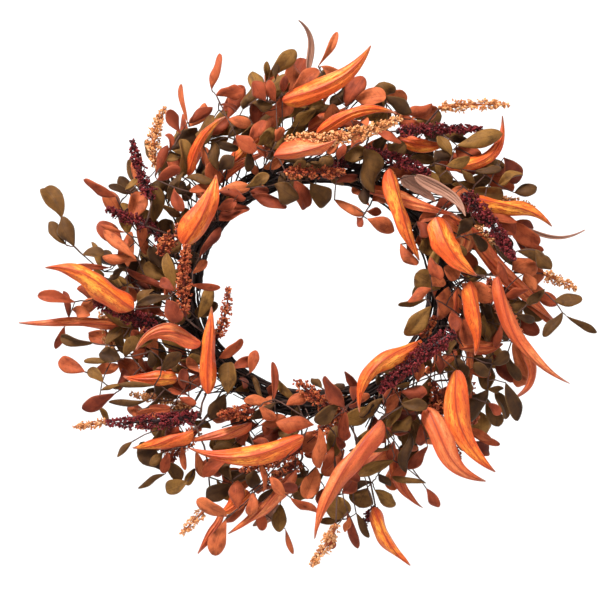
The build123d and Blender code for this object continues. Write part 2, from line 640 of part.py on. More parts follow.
def binding_wire(angle):
    """A wire tie round the joint of two bundles."""
    middle = clock(angle)
    round_tie = BUNDLE_RADIUS + BINDING_CLEARANCE + BINDING_RADIUS
    with BuildPart() as tie:
        with BuildSketch(Plane(origin=middle, x_dir=outward(angle), z_dir=(0, 1, 0))):
            with Locations((round_tie, 0)):
                Circle(BINDING_RADIUS)
        revolve(axis=Axis(middle, outward(angle + 90)), revolution_arc=360)
    return tie.part


def write_group(name, solids):
    """One node of separate solids."""
    group = Compound(solids)
    group.label = name
    export_step(group, f"parts/{name}.step")


os.makedirs("parts", exist_ok=True)

with BuildPart() as core_hoop:
    for number in range(1, BUNDLES + 1):
        add(ring_rod(number, 0, 0, 0, HOOP_RADIUS))
core_hoop.part.label = "core_hoop"
export_step(core_hoop.part, "parts/core_hoop.step")

for number in range(1, BUNDLES + 1):
    write_group(f"twig_bundle_{number}", twig_bundle(number))
write_group("binding_wires", [binding_wire(SPAN * k) for k in range(BUNDLES)])

# the plate lies behind the joint at the top, and its two ears carry the loop's pins
with BuildPart() as hanger_plate:
    with BuildSketch(Plane(origin=(0, PLATE_FRONT, RING_HALF_HEIGHT), x_dir=(1, 0, 0), z_dir=(0, -1, 0))):
        RectangleRounded(PLATE_WIDTH, PLATE_HEIGHT, PLATE_CORNER)
    extrude(amount=-PLATE_THICKNESS)
    for side in (-1, 1):
        with BuildSketch(Plane(origin=(side * EAR_PLACE, 0, 0), x_dir=(0, 1, 0), z_dir=(1, 0, 0))):
            with Locations((HINGE_DEPTH, HINGE_HEIGHT)):
                Circle(EAR_RADIUS)
            with Locations(((HINGE_DEPTH + PLATE_BACK - EAR_ROOT) / 2, HINGE_HEIGHT)):
                Rectangle(HINGE_DEPTH - PLATE_BACK + EAR_ROOT, 2 * EAR_RADIUS)
            with Locations((HINGE_DEPTH, HINGE_HEIGHT)):
                Circle(LOOP_WIRE + PIVOT_CLEARANCE, mode=Mode.SUBTRACT)
        extrude(amount=EAR_THICKNESS / 2, both=True)
    with BuildSketch(Plane(origin=(0, PLATE_FRONT, RING_HALF_HEIGHT), x_dir=(1, 0, 0), z_dir=(0, -1, 0))):
        with GridLocations(2 * SCREW_PLACE, 0, 2, 1):
            Circle(SCREW_RADIUS + SCREW_HOLE_CLEARANCE)
    extrude(amount=-PLATE_THICKNESS, mode=Mode.SUBTRACT)
hanger_plate.part.label = "hanger_plate"
export_step(hanger_plate.part, "parts/hanger_plate.step")


def screw(side):
    """A small round-headed screw through the plate into the twigs."""
    with BuildPart() as piece:
        with BuildSketch(Plane(origin=(side * SCREW_PLACE, PLATE_BACK, RING_HALF_HEIGHT), z_dir=(0, -1, 0))):
            Circle(SCREW_RADIUS)
        extrude(amount=SCREW_LENGTH)
        with BuildSketch(Plane(origin=(side * SCREW_PLACE, PLATE_BACK, RING_HALF_HEIGHT), z_dir=(0, 1, 0))):
            Circle(SCREW_HEAD)
        extrude(amount=SCREW_HEAD_HEIGHT)
        fillet(piece.edges().filter_by(GeomType.CIRCLE).sort_by(Axis.Y)[-1], SCREW_HEAD_ROUND)
    return piece.part


write_group("hanger_screws", [screw(-1), screw(1)])

# the loop: a wire bail whose ends turn in through the ears
leg = LOOP_WIDTH / 2
with BuildPart() as hanger_loop:
    with BuildLine(Plane(origin=(0, HINGE_DEPTH, HINGE_HEIGHT), x_dir=(1, 0, 0), z_dir=(0, -1, 0))) as wire:
        FilletPolyline((PIN_END, 0), (leg, 0), (leg, LOOP_STRAIGHT), radius=LOOP_BEND)
        ThreePointArc((leg, LOOP_STRAIGHT), (0, LOOP_STRAIGHT + leg), (-leg, LOOP_STRAIGHT))
        FilletPolyline((-leg, LOOP_STRAIGHT), (-leg, 0), (-PIN_END, 0), radius=LOOP_BEND)
    with BuildSketch(Plane(origin=(PIN_END, HINGE_DEPTH, HINGE_HEIGHT), z_dir=(1, 0, 0))):
        Circle(LOOP_WIRE)
    sweep(path=wire.wires()[0])
hanger_loop.part.label = "hanger_loop"
export_step(hanger_loop.part, "parts/hanger_loop.step")


# ---- foliage -------------------------------------------------------------------------------------

rng = random.Random(SEED_VALUE)
foliage = Foliage()
add_long(foliage, "variegated_leaves", VARIEGATED, 8, rng)
add_spikes(foliage, "burgundy_spikes", BURGUNDY, 4, rng)
add_spikes(foliage, "copper_spikes", COPPER, 4, rng)
add_spikes(foliage, "peach_spikes", PEACH, 3, rng)
add_long(foliage, "plain_leaves", PLAIN, 6, rng)
add_long(foliage, "turned_leaves", TURNED, 1, rng, upside=-1)
add_small(foliage, "olive_spray", OLIVE, 10, rng)
add_small(foliage, "rust_spray", RUST, 10, rng)
add_fillers(foliage, "olive_spray", FILLERS_PER_COLOUR, 10, rng)
add_fillers(foliage, "rust_spray", FILLERS_PER_COLOUR, 10, rng)

for name, pieces in sorted(foliage.nodes.items()):
    write_group(name, [piece.solid() for piece in pieces])
    print(name, "pieces", len(pieces), "rooted in bundles", sorted(foliage.roots.get(name, ())))
print("left out for want of room:", foliage.dropped)
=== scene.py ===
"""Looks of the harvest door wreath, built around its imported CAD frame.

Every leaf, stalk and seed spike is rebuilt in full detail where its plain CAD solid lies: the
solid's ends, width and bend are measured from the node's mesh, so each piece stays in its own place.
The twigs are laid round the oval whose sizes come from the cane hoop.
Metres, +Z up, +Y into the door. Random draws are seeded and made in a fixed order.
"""
import bpy
import math
import numpy as np
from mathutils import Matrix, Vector


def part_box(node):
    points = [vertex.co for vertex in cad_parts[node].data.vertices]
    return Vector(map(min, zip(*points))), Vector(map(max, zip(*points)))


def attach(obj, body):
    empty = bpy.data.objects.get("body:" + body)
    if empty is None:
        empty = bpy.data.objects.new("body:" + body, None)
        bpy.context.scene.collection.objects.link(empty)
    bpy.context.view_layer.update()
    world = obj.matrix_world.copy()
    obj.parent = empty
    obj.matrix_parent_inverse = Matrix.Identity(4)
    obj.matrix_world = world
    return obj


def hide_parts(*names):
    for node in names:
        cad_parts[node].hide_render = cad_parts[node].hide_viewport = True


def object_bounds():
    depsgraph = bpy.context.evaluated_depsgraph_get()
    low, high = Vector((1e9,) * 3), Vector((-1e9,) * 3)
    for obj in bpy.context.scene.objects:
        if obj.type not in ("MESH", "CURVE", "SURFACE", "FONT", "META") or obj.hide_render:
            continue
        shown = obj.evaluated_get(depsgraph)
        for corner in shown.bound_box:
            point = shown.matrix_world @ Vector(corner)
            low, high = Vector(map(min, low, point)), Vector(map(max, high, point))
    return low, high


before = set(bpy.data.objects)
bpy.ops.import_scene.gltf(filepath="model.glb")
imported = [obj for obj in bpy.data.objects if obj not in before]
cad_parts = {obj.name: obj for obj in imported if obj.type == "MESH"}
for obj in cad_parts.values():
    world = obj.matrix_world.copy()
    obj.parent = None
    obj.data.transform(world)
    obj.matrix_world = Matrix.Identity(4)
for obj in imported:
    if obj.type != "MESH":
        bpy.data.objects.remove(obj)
cad_low, cad_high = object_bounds()

MM = 0.001

# where the random draws start: a foliage node adds its number
FOLIAGE_RANDOM, TWIG_RANDOM = 1000, 5

# the ring is a four-centred oval, whose sizes come from the cane hoop in its middle
hoop_low, hoop_high = (np.array(corner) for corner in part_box("core_hoop"))
HOOP_THICKNESS = hoop_high[1] - hoop_low[1]
RING_DEPTH = (hoop_high[1] + hoop_low[1]) / 2
HALF_WIDTH, _, HALF_HEIGHT = (hoop_high - hoop_low - HOOP_THICKNESS) / 2
SIDE_ANGLE = math.radians(60)
ARC_SHIFT = (HALF_WIDTH - HALF_HEIGHT) / (1 + math.tan(SIDE_ANGLE) - 1 / math.cos(SIDE_ANGLE))
SIDE_SHIFT = ARC_SHIFT * math.tan(SIDE_ANGLE)

# reading the CAD solids
WELD = 1e-6  # points nearer than this are one
END_ZONE = 6e-4  # points this near to a solid's end belong to the end
FLAT_SHARE = 0.65  # of a flat blade's area faces one way or its opposite
FLAT = 0.3 * MM  # a blade that bulges less than this is a flat one, and faces the front
CAP_FACING = 0.7  # how squarely a rod's end face looks along the rod
ROD_INNER = (0.15, 0.85)  # the part of a rod that tells its sag
BLADE_INNER = (0.12, 0.88)  # the part of a blade that tells its width and bends
SPIKE_LEAST = 2.2 * MM  # a thinner rod is a stalk

# leaves
ROW_CROWDING = 0.11  # rows of points lie closer together towards a leaf's ends
DROOP_SHARE = (0.2, 1.0)  # of the style's droop
TWIST_MIDDLE = 0.45  # where along a leaf its twist is nil
SWAY, SWAY_RATE, SWAY_PHASE = 0.4, 4, 9  # a slow rocking to and fro along the leaf
LEAST_HALF_WIDTH = 2.5e-4
OTHER_SIDE_WAVES = 1.2  # the two edges ruffle at different rates
RUFFLE_RISE = 2.5  # the ruffle grows towards the edge by this power
CUP_NARROWING, NARROWEST = 0.35, 0.3  # a cupped leaf is narrower
MARGIN_WAVES = 1.3
SEED_SHIFT = 400  # mm at most between the patterns of two pieces
SEED_DECODE = 0.137  # makes a tone of its own from a leaf's shift
STEM_LEAF_START = (0.008, 0.018)  # the smaller leaves along the stalks begin this far up
STEM_LEAF_END = 0.012
STEM_LEAF_STEP = (0.009, 0.016)
STEM_LEAF_LENGTH = (0.019, 0.029)
STEM_LEAF_BREADTH = (0.42, 0.58)  # of the leaf's length, like the curl
STEM_LEAF_CURL = (0.04, 0.12)
STEM_LEAF_SPLAY = (0.5, 1.6)  # sideways for each step along the stalk
STEM_LEAF_SCATTER, STEM_LEAF_TILT = 0.35, 0.5
STEM_LEAF_TRIES = 5
STEM_LEAF_BACK = -5 * MM  # and no nearer to the door than this
ROOT_PART = 10  # one in so many of a leaf's points, at its root, may touch others
STEM_POINTS = 30
CELL = 2.6 * MM  # leaves along the stalks keep out of each other's cubes of this size

# stalks and twigs
OFF_AXIS = (0.31, 0.87, 0.39)  # no tube runs this way
TUBE_SIDES = 7
GRAIN = 3  # mm that the bark's pattern spreads to each side of a tube
STALK_RADIUS, SPIKE_STALK_RADIUS = 0.00058, 0.0009
STALK_ROOT, STALK_THINNING = 1.25, 0.35  # of that radius, at the root and lost on the way to the tip
STALK_LEAST_POINTS = 6
JOINT_EVERY, JOINT_SWELL = 0.006, 0.25  # swollen places along a stalk
JOINT_SHARE = 0.75  # of the places have no joint
WOBBLE = 0.0004
BUNDLES = 6
BUNDLE_RADIUS = 0.013
TWIGS = 34  # long twigs that start in each of the six lengths of the ring
TWIG_SPAN = (0.7, 1.7)  # radians
TWIG_PLACES = (0.05, 1.05)  # of the bundle's cross-section, from its middle outwards
TWIG_WINDING = (-1.1, 1.1)  # turns round the bundle, in radians for each radian along the ring
TWIG_STRAY, TWIG_STRAY_SHARE = 0.004, (0, 1.6)  # how far a twig's end leaves the bundle
TWIG_HOLD = 1.5  # parts of a twig lie in the bundle for one part that leaves it
TWIG_RADIUS = (0.0008, 0.0019)
TWIG_TAPER = (1.0, 0.45)
TWIG_ROUGH = 0.0003
KNOT_SWELL, KNOT_SHARE = 0.2, 0.85  # this share of the places along a twig has no knot
POINTS_PER_RADIAN = 26
STRAYS = 30  # short ends that stand out of each length
STRAY_LEAN = (-0.25, 1.1)  # inwards and outwards
STRAY_AHEAD, STRAY_OUT, STRAY_FORWARD = (0.5, 1.3), 0.8, (0.1, 1.0)  # parts of a stray's heading
STRAY_LENGTH = (0.03, 0.085)
STRAY_START = 0.006  # from the bundle's middle
STRAY_BEND = (0.003, 0.010)
STRAY_RADIUS = (0.0006, 0.0013)
STRAY_TAPER = (1.3, 0.5)
STRAY_POINTS, STRAY_SIDES = 9, 6
STRAY_BACK = -0.004  # strays come no nearer to the door

# seed spikes
SPIKE_POINTS = 40
SPIKE_OFF_AXIS = (0.2, 0.1, 1.0)  # no spike runs this way
SPIKE_USUAL_RADIUS = 0.005  # a style's seeds per mm of length are for this radius
CORE_SHARE = 0.5  # of the spike's radius
CLUMP_CROWDING = 0.9  # below 1, so that clumps lie a little closer together towards the tip
GOLDEN_TURN = 2.4  # radians from one clump of seeds to the next, which spreads them evenly
CLUMP_DEPTHS = (0.4, 0.7, 0.95, 1.2)  # of the spike's radius
CLUMP_SHARES = (0.15, 0.25, 0.4, 0.2)
CLUMP_SCATTER = 0.5  # radians
# painted shade: seeds that lie less than this far out from the lowest clump are darkened, most at the lowest
SEED_SHADE_FADE = 0.6  # this much further out than the lowest clump, a seed has its full tone
SEED_SIZES, SEED_TILT = (0.7, 1.25), 0.35
SEED_PATTERN_SHIFT = 300  # mm at most, by a seed's tone
SEED_LAYOUT = (4, 6)  # rows and sides of a seed's mesh

# stage
ROOM_SIDES = 96
ROOM_RADIUS = 4.8
ROOM_FLOOR = -1.6
ROOM_TOP = 4.0
WORLD_LIGHT = 0.05
LIGHTS = {  # place, aim (the wreath's middle if None), size and watts
    "key": ((-1.1, -1.5, 2.1), None, 0.7, 138),
    "fill": ((1.6, -2.2, 0.1), None, 1.6, 21),
    "backdrop_left": ((-2.4, 2.6, 1.4), (-0.4, 4.8, 0.0), 1.6, 56),
    "backdrop_right": ((2.4, 2.6, 1.4), (0.4, 4.8, 0.0), 1.6, 56),
}
PICTURE_WIDTH = 0.600  # of the wreath's plane that the picture takes in
PICTURE_MIDDLE = (-0.016, -0.013)  # across and up
PICTURE_PLANE = -0.055
CAMERA_DISTANCE = 2.8
SENSOR_WIDTH = 36.0

# ---- reading the CAD solids --------------------------------------------------------------------


def unit(vectors):
    """Vectors at length 1."""
    vectors = np.asarray(vectors, float)
    return vectors / np.maximum(np.linalg.norm(vectors, axis=-1, keepdims=True), 1e-12)


def islands(node):
    """The separate solids of a node: the corner points and the triangles of each."""
    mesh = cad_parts[node].data
    points = np.array([v.co for v in mesh.vertices], float).reshape(-1, 3)
    mesh.calc_loop_triangles()
    triangles = np.array([t.vertices for t in mesh.loop_triangles], int).reshape(-1, 3)
    keys = np.round(points / WELD).astype(np.int64)
    _, first, merged = np.unique(keys, axis=0, return_index=True, return_inverse=True)
    points, triangles = points[first], merged.reshape(-1)[triangles]
    label = np.arange(len(points))
    while True:
        lowest = label[triangles].min(axis=1)
        new = label.copy()
        for corner in range(3):
            np.minimum.at(new, triangles[:, corner], lowest)
        new = new[new]
        if (new == label).all():
            break
        label = new
    found = []
    for name in np.unique(label):
        own = np.flatnonzero(label == name)
        place = np.full(len(points), -1)
        place[own] = np.arange(len(own))
        found.append((points[own], place[triangles[label[triangles[:, 0]] == name]]))
    return found


def measure(points, triangles):
    """A solid's ends, its facing, and whether it is a flat blade or a round rod."""
    middle = points.mean(axis=0)
    along = np.linalg.svd(points - middle, full_matrices=False)[2][0]
    reach = (points - middle) @ along
    ends = [points[reach < reach.min() + END_ZONE].mean(axis=0),
            points[reach > reach.max() - END_ZONE].mean(axis=0)]
    normal, area, _ = faces_of(points, triangles)
    values, vectors = np.linalg.eigh((normal.T * area) @ normal / area.sum())
    return ends, vectors[:, 2], values[2] > FLAT_SHARE


def faces_of(points, triangles):
    """The direction, area and middle of each triangle."""
    corners = points[triangles]
    normal = np.cross(corners[:, 1] - corners[:, 0], corners[:, 2] - corners[:, 0])
    size = np.maximum(np.linalg.norm(normal, axis=1), 1e-15)
    return normal / size[:, None], size / 2, corners.mean(axis=1)


def read_rod(points, triangles, ends):
    """A rod's end middles, sag and radius, from its two end faces and the points between them."""
    along = unit(ends[1] - ends[0])
    normal, area, middle = faces_of(points, triangles)
    caps = [normal @ along < -CAP_FACING, normal @ along > CAP_FACING]
    start, end = ((middle[cap] * area[cap, None]).sum(axis=0) / area[cap].sum() for cap in caps)
    radius = math.sqrt(area[caps[0]].sum() / math.pi)
    chord = end - start
    part_way = ((points - start) @ chord) / (chord @ chord)
    away = points - start - part_way[:, None] * chord
    inner = (part_way > ROD_INNER[0]) & (part_way < ROD_INNER[1])
    hump = 4 * part_way[inner] * (1 - part_way[inner])
    sag = (away[inner] * hump[:, None]).sum(axis=0) / max((hump ** 2).sum(), 1e-9)
    return {"start": start, "end": end, "sag": sag, "radius": radius}


def is_reversed(root, tip, stalks):
    """Whether a stalk ends at what was taken for the tip."""
    spots = np.array([spot for rod in stalks for spot in (rod["start"], rod["end"])]).reshape(-1, 3)
    if len(spots) == 0:
        return False
    return np.linalg.norm(spots - tip, axis=1).min() < np.linalg.norm(spots - root, axis=1).min()


def read_blade(points, ends, facing, rods):
    """A leaf's ends, directions, width and bends, measured from its solid's points."""
    root, tip = ends
    if is_reversed(root, tip, rods):
        root, tip = tip, root
    length = np.linalg.norm(tip - root)
    along = (tip - root) / length
    facing = unit(facing - along * (facing @ along))
    side = np.cross(facing, along)
    part_way = ((points - root) @ along) / length
    inner = (part_way > BLADE_INNER[0]) & (part_way < BLADE_INNER[1])
    hump = 4 * part_way[inner] * (1 - part_way[inner])
    curl = np.mean(((points[inner] - root) @ facing) / hump)
    if curl < -FLAT or (abs(curl) <= FLAT and facing[1] > 0):
        facing, side, curl = -facing, -side, -curl
    across = ((points[inner] - root) @ side) / hump
    high, low = across.max(), across.min()
    return {"root": root, "tip": tip, "length": length, "up": facing, "side": side,
            "width": high - low, "bow": (high + low) / 2, "curl": curl}


def read_node(node):
    """The blades and rods of a foliage node."""
    solids = [(points, triangles, *measure(points, triangles)) for points, triangles in islands(node)]
    rods = [read_rod(points, triangles, ends) for points, triangles, ends, _, flat in solids if not flat]
    blades = [read_blade(points, ends, facing, rods) for points, _, ends, facing, flat in solids if flat]
    return blades, rods


# ---- meshes ------------------------------------------------------------------------------------
# A chunk is a part of a piece's mesh: points, faces, and two values of each point for the materials.
# "place" is in mm over the surface, shifted at random from one leaf or tube to the next. "share" says
# how far across and along a leaf a point lies and whether it is on the back, or a seed's tone, how
# far along the spike it sits and how far out, which together with the way each point faces sets the
# seed's painted shade.


def make_piece(name, chunks, materials, slot, *nodes):
    """One object from chunks of points, faces and values, that stands for these CAD nodes."""
    points, faces, place, share, index = [], [], [], [], []
    offset = 0
    for chunk in chunks:
        points.append(chunk["points"])
        faces.extend((chunk["faces"] + offset).tolist())
        place.append(chunk["place"])
        share.append(chunk["share"])
        index.extend([chunk.get("material", 0)] * len(chunk["faces"]))
        offset += len(chunk["points"])
    mesh = bpy.data.meshes.new(name)
    mesh.from_pydata(np.concatenate(points).tolist(), [], faces)
    for title, rows in (("place", place), ("share", share)):
        attribute = mesh.attributes.new(title, "FLOAT_VECTOR", "POINT")
        attribute.data.foreach_set("vector", np.concatenate(rows).astype(np.float32).ravel())
    for material in materials:
        mesh.materials.append(material)
    mesh.polygons.foreach_set("material_index", index)
    mesh.polygons.foreach_set("use_smooth", [True] * len(mesh.polygons))
    mesh.update()
    piece = bpy.data.objects.new(name, mesh)
    bpy.context.scene.collection.objects.link(piece)
    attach(piece, "wreath")
    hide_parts(*nodes)
    return piece


def grid_faces(rows, lanes, first=0, flip=False):
    """The quads of a grid of rows by lanes cells."""
    r, l = np.meshgrid(np.arange(rows), np.arange(lanes), indexing="ij")
    corner = (first + r * (lanes + 1) + l).ravel()
    quads = np.stack([corner, corner + 1, corner + lanes + 2, corner + lanes + 1], axis=1)
    return quads[:, ::-1] if flip else quads


def rim_faces(rows, lanes):
    """The quads that join the edges of an upper and a lower grid."""
    count = (rows + 1) * (lanes + 1)
    ring = [l for l in range(lanes + 1)]
    ring += [(r + 1) * (lanes + 1) + lanes for r in range(rows)]
    ring += [rows * (lanes + 1) + l for l in range(lanes - 1, -1, -1)]
    ring += [r * (lanes + 1) for r in range(rows - 1, 0, -1)]
    ring = np.array(ring)
    after = np.roll(ring, -1)
    return np.stack([ring, ring + count, after + count, after], axis=1)


def turn_about(vectors, axes, angles):
    """Vectors turned about unit axes, each by its own angle."""
    cos, sin = np.cos(angles)[:, None], np.sin(angles)[:, None]
    inner = (vectors * axes).sum(axis=1, keepdims=True)
    return vectors * cos + np.cross(axes, vectors) * sin + axes * inner * (1 - cos)


def leaf_chunk(blade, style, rng):
    """A closed thin leaf on a blade's line, with the style's outline, cup, fold, ruffle and twist."""
    rows, lanes = style["rows"], style["lanes"]
    u = np.linspace(0, 1, rows + 1)
    u = u - np.sin(2 * np.pi * u) * ROW_CROWDING
    hump = 4 * u * (1 - u)
    seed = rng.uniform()
    wander = rng.uniform(-1, 1) * style["wander"] * blade["length"]
    droop = rng.uniform(*DROOP_SHARE) * style["droop"] * blade["length"]
    line = blade["root"] + u[:, None] * (blade["tip"] - blade["root"])
    late = u ** style["hook"]  # the bend lies nearer to the tip
    sideways = blade["bow"] * 4 * late * (1 - late) + wander * np.sin(2 * np.pi * u) * 0.5
    line = line + blade["side"] * sideways[:, None]
    line = line + blade["up"] * (blade["curl"] * hump - droop * u ** 3)[:, None]
    tangent = unit(np.gradient(line, axis=0))
    side = np.broadcast_to(blade["side"], line.shape)
    side = unit(side - tangent * (side * tangent).sum(axis=1, keepdims=True))
    twist = rng.uniform(-1, 1) * style["twist"]
    sway = style["twist"] * SWAY * np.sin(SWAY_RATE * u + SWAY_PHASE * seed)
    side = turn_about(side, tangent, twist * (u - TWIST_MIDDLE) + sway)
    up = np.cross(tangent, side)
    half = np.maximum(blade["width"] / 2 * style["broad"] * style["outline"](u), LEAST_HALF_WIDTH)
    v = np.linspace(-1, 1, lanes + 1)[None, :]
    uu = u[:, None]
    cup = rng.uniform(*style["cup"])
    fold = rng.uniform(*style["fold"])
    waves = rng.uniform(*style["waves"])
    phase = rng.uniform(0, 2 * np.pi, 2)
    one_side = np.sin(waves * 2 * np.pi * uu + phase[0])
    other_side = np.sin(waves * OTHER_SIDE_WAVES * np.pi * uu + phase[1])
    ruffle = np.where(v > 0, one_side, other_side)
    lift = -cup * v ** 2 + fold * np.abs(v) + style["ruffle"] * ruffle * np.abs(v) ** RUFFLE_RISE
    lift = lift * half[:, None] + style["pleat"] * np.cos(style["pleats"] * np.pi * v) * hump[:, None] ** 0.5
    narrow = np.sqrt(np.maximum(1 - CUP_NARROWING * (cup * v) ** 2, NARROWEST))
    margin_phase = np.where(v > 0, phase[1], phase[0])
    uneven = 1 + style["margin"] * np.sin(2 * np.pi * (uu * waves * MARGIN_WAVES + margin_phase))
    upper = line[:, None, :] + side[:, None, :] * (v * narrow * uneven * half[:, None])[:, :, None]
    upper = upper + up[:, None, :] * lift[:, :, None]
    across = unit(np.gradient(upper, axis=1))
    lengthwise = unit(np.gradient(upper, axis=0))
    normal = unit(np.cross(lengthwise, across))
    lower = upper - normal * style["thickness"]
    count = (rows + 1) * (lanes + 1)
    across_mm, along_mm = v * half[:, None] / MM, uu * blade["length"] / MM
    place = np.stack(np.broadcast_arrays(across_mm, along_mm, seed * SEED_SHIFT), axis=-1)
    share_upper = np.stack(np.broadcast_arrays(v, uu, 0 * uu), axis=-1)
    share_lower = np.stack(np.broadcast_arrays(v, uu, 0 * uu + 1), axis=-1)
    faces = np.concatenate([grid_faces(rows, lanes, flip=True), grid_faces(rows, lanes, first=count),
                            rim_faces(rows, lanes)[:, ::-1]])
    return {"points": np.concatenate([upper.reshape(-1, 3), lower.reshape(-1, 3)]), "faces": faces,
            "place": np.concatenate([place.reshape(-1, 3)] * 2),
            "share": np.concatenate([share_upper.reshape(-1, 3), share_lower.reshape(-1, 3)])}


def tube_chunk(line, radii, seed=0.0, sides=TUBE_SIDES, material=0):
    """A closed tube along a line of points; its caps follow as a chunk without points of its own."""
    line = np.asarray(line, float)
    tangent = unit(np.gradient(line, axis=0))
    start = np.array(OFF_AXIS)
    side = unit(start - tangent * (tangent @ start)[:, None])
    up = np.cross(tangent, side)
    angle = np.linspace(0, 2 * np.pi, sides, endpoint=False)
    ring = side[:, None, :] * np.cos(angle)[None, :, None] + up[:, None, :] * np.sin(angle)[None, :, None]
    body = line[:, None, :] + ring * np.asarray(radii, float)[:, None, None]
    rows = len(line)
    points = np.concatenate([body.reshape(-1, 3), line[:1], line[-1:]])
    r, s = np.meshgrid(np.arange(rows - 1), np.arange(sides), indexing="ij")
    s2 = (s + 1) % sides
    corners = [r * sides + s, r * sides + s2, (r + 1) * sides + s2, (r + 1) * sides + s]
    quads = np.stack(corners, axis=-1).reshape(-1, 4)
    k = np.arange(sides)
    k2 = (k + 1) % sides
    end = (rows - 1) * sides
    first = np.stack([k2, k, np.full(sides, rows * sides)], axis=1)
    last = np.stack([end + k, end + k2, np.full(sides, rows * sides + 1)], axis=1)
    reach = np.concatenate([[0], np.cumsum(np.linalg.norm(np.diff(line, axis=0), axis=1))])
    place = np.zeros((len(points), 3))
    grain = np.broadcast_arrays(np.cos(angle)[None, :] * GRAIN, reach[:, None] / MM, seed * SEED_SHIFT)
    place[:-2] = np.stack(grain, axis=-1).reshape(-1, 3)
    share = np.zeros((len(points), 3))
    share[:-2, 1] = np.repeat(reach / max(reach[-1], 1e-9), sides)
    return [{"points": points, "faces": quads, "place": place, "share": share, "material": material},
            {"points": points[:0], "faces": np.concatenate([first, last]) - len(points), "place": place[:0],
             "share": share[:0], "material": material}]


def rod_line(rod, points, wobble=0.0, rng=None):
    """Points along a rod's own arc, with a little wobble for a natural stalk."""
    u = np.linspace(0, 1, points)
    line = rod["start"] + u[:, None] * (rod["end"] - rod["start"]) + (4 * u * (1 - u))[:, None] * rod["sag"]
    if wobble:
        line[1:-1] += rng.normal(0, wobble, (points - 2, 3)) * (4 * u * (1 - u))[1:-1, None]
    return line


def stalk_chunks(rods, rng, radius=STALK_RADIUS):
    """Thin wrapped-wire stalks, thicker at the root, with small joints along them."""
    chunks = []
    for rod in rods:
        length = np.linalg.norm(rod["end"] - rod["start"])
        count = max(STALK_LEAST_POINTS, int(length / JOINT_EVERY))
        line = rod_line(rod, count, WOBBLE, rng)
        u = np.linspace(0, 1, count)
        joints = 1 + JOINT_SWELL * (rng.uniform(size=count) > JOINT_SHARE)
        radii = radius * (STALK_ROOT - STALK_THINNING * u) * joints
        chunks += tube_chunk(line, radii, rng.uniform(), material=1)
    return chunks


def sphere(rows, sides):
    """A round seed of unit radius: points, quads and the two caps."""
    lat = np.linspace(0, np.pi, rows + 1)[1:-1]
    lon = np.linspace(0, 2 * np.pi, sides, endpoint=False)
    body = np.stack(np.broadcast_arrays(np.sin(lat)[:, None] * np.cos(lon)[None, :],
                                        np.sin(lat)[:, None] * np.sin(lon)[None, :],
                                        np.cos(lat)[:, None] + 0 * lon[None, :]), axis=-1).reshape(-1, 3)
    points = np.concatenate([body, [[0, 0, 1], [0, 0, -1]]])
    triangles = []
    rings = rows - 1
    for r in range(rings - 1):
        for s in range(sides):
            a, b = r * sides + s, r * sides + (s + 1) % sides
            c, d = b + sides, a + sides
            triangles += [[a, d, b], [b, d, c]]
    for s in range(sides):
        t = (s + 1) % sides
        triangles.append([s, t, rings * sides])
        triangles.append([(rings - 1) * sides + t, (rings - 1) * sides + s, rings * sides + 1])
    return points, np.array(triangles)


SEED_POINTS, SEED_FACES = sphere(*SEED_LAYOUT)


def spike_taper(at):
    """A spike's radius along it, of its rod's: full soon after the root, and thin at the tip."""
    thinning = 1.12 - 0.15 * at - 1.5 * np.clip(at - 0.55, 0, 1) ** 1.3
    return np.clip(thinning, 0.22, None) * np.clip(0.45 + 5 * at, 0, 1)


